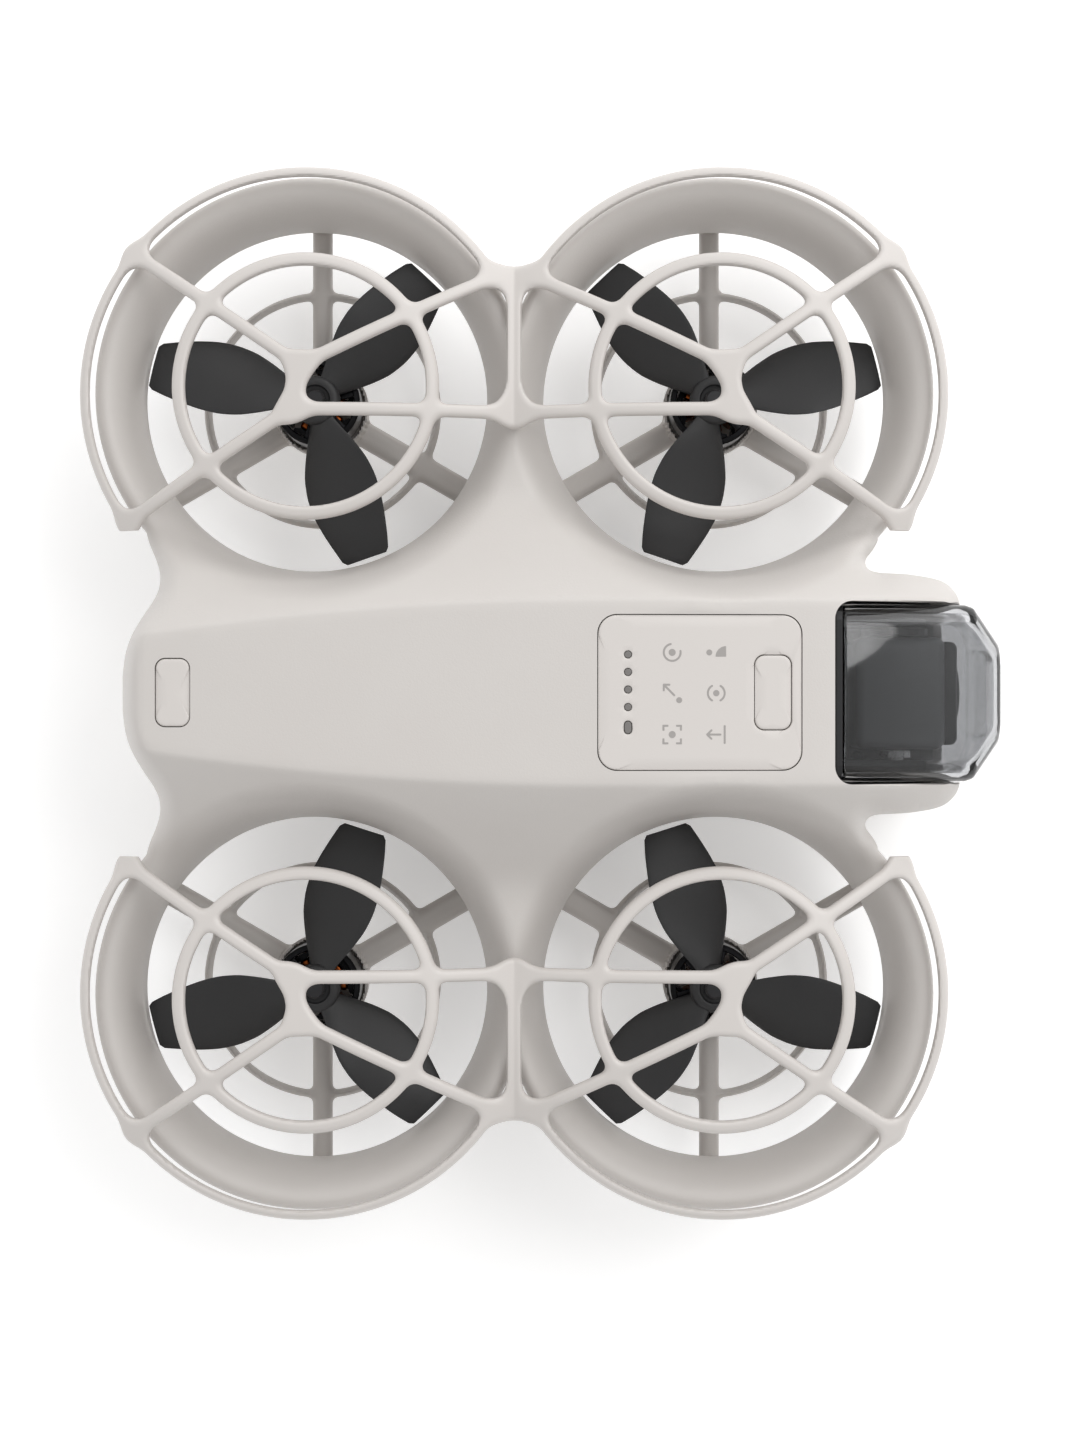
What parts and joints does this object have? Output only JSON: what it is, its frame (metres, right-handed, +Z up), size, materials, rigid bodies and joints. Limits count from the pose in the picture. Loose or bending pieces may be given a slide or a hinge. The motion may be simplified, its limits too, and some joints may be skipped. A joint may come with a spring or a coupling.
{
  "type": "quadcopter drone",
  "caption": "Palm-size ducted quadcopter drone with domed clip-on guards, control panel on top, slide-in battery and a tilting nose camera under a clear cover.",
  "frame": {"origin": "middle of the footprint, on the surface it stands on", "axes": "+X out of the nose, +Y to the drone's left, +Z up"},
  "size_m": [0.1355, 0.155, 0.0484],
  "materials": {
    "shell": "moulded satin",
    "guard": "moulded satin",
    "panel": "fine texture",
    "button": "satin",
    "battery": "moulded satin",
    "propeller": "satin",
    "motor_black": "anodised black",
    "winding_copper": "enamelled wire",
    "shaft_steel": "ground",
    "screw_steel": "plated",
    "frame_alloy": "stamped",
    "board_laminate": "solder mask",
    "black_plastic": "moulded",
    "light_guide": "clear moulded",
    "connector_metal": "plated",
    "camera_black": "satin black",
    "camera_grey": "satin dark grey",
    "lens_glass": "coated",
    "sensor_glass": "polished",
    "clear_cover": "clear smoke tint"
  },
  "bodies": {
    "airframe": {"upper_shell": "shell", "lower_shell": "shell", "motor_mount_rear_left": "shell", "motor_mount_rear_right": "shell", "motor_mount_front_left": "shell", "motor_mount_front_right": "shell", "guard_left": "guard", "guard_right": "guard", "control_panel": "panel", "stator_rear_left": "winding_copper", "stator_rear_right": "winding_copper", "stator_front_left": "winding_copper", "stator_front_right": "winding_copper", "guard_screw_left": "screw_steel", "guard_screw_right": "screw_steel", "body_screw_rear_left": "screw_steel", "body_screw_rear_right": "screw_steel", "body_screw_front_left": "screw_steel", "body_screw_front_right": "screw_steel", "mid_frame": "frame_alloy", "main_board": "board_laminate", "power_switch": "black_plastic", "mode_switch": "black_plastic", "battery_connector": "black_plastic", "status_light_guide": "light_guide", "usb_port": "connector_metal", "camera_frame": "camera_black", "vision_sensor": "lens_glass", "infrared_sensor": "lens_glass", "sensor_window": "sensor_glass"},
    "rotor_rear_left": {"propeller_rear_left": "propeller", "propeller_screw_rear_left": "screw_steel", "rotor_bell_rear_left": "motor_black", "shaft_rear_left": "shaft_steel"},
    "rotor_rear_right": {"propeller_rear_right": "propeller", "propeller_screw_rear_right": "screw_steel", "rotor_bell_rear_right": "motor_black", "shaft_rear_right": "shaft_steel"},
    "rotor_front_left": {"propeller_front_left": "propeller", "propeller_screw_front_left": "screw_steel", "rotor_bell_front_left": "motor_black", "shaft_front_left": "shaft_steel"},
    "rotor_front_right": {"propeller_front_right": "propeller", "propeller_screw_front_right": "screw_steel", "rotor_bell_front_right": "motor_black", "shaft_front_right": "shaft_steel"},
    "camera": {"camera_housing": "camera_grey", "lens_barrel": "camera_black", "lens_glass": "lens_glass", "tilt_motor": "camera_black", "tilt_pin": "shaft_steel"},
    "camera_cover": {"camera_cover": "clear_cover"},
    "battery": {"battery_pack": "battery"},
    "latch_left": {"battery_latch_left": "battery"},
    "latch_right": {"battery_latch_right": "battery"},
    "power_button": {"power_button": "button"},
    "mode_button": {"mode_button": "button"}
  },
  "joints": [
    {"name": "rear_left_spin", "type": "hinge", "parent": "airframe", "child": "rotor_rear_left", "pos_m": [-0.0339, 0.0446, 0.0226], "axis": [0, 0, 1], "continuous": true},
    {"name": "rear_right_spin", "type": "hinge", "parent": "airframe", "child": "rotor_rear_right", "pos_m": [-0.0339, -0.0446, 0.0226], "axis": [0, 0, 1], "continuous": true},
    {"name": "front_left_spin", "type": "hinge", "parent": "airframe", "child": "rotor_front_left", "pos_m": [0.0266, 0.0446, 0.0226], "axis": [0, 0, 1], "continuous": true},
    {"name": "front_right_spin", "type": "hinge", "parent": "airframe", "child": "rotor_front_right", "pos_m": [0.0266, -0.0446, 0.0226], "axis": [0, 0, 1], "continuous": true},
    {"name": "camera_tilt", "type": "hinge", "parent": "airframe", "child": "camera", "pos_m": [0.0528, 0, 0.031], "axis": [0, 1, 0], "range_deg": [-60, 90]},
    {"name": "cover_slide", "type": "slide", "parent": "airframe", "child": "camera_cover", "axis": [1, 0, 0], "range_m": [0, 0.03]},
    {"name": "battery_slide", "type": "slide", "parent": "airframe", "child": "battery", "axis": [-1, 0, 0], "range_m": [0, 0.055]},
    {"name": "latch_left_press", "type": "slide", "parent": "battery", "child": "latch_left", "axis": [0, -1, 0], "range_m": [0, 0.0007], "stiffness_N_per_m": 1200},
    {"name": "latch_right_press", "type": "slide", "parent": "battery", "child": "latch_right", "axis": [0, 1, 0], "range_m": [0, 0.0007], "stiffness_N_per_m": 1200},
    {"name": "power_press", "type": "slide", "parent": "airframe", "child": "power_button", "axis": [0, 0, -1], "range_m": [0, 0.0006], "stiffness_N_per_m": 1000},
    {"name": "mode_press", "type": "slide", "parent": "airframe", "child": "mode_button", "axis": [0, 0, -1], "range_m": [0, 0.0006], "stiffness_N_per_m": 1000}
  ]
}
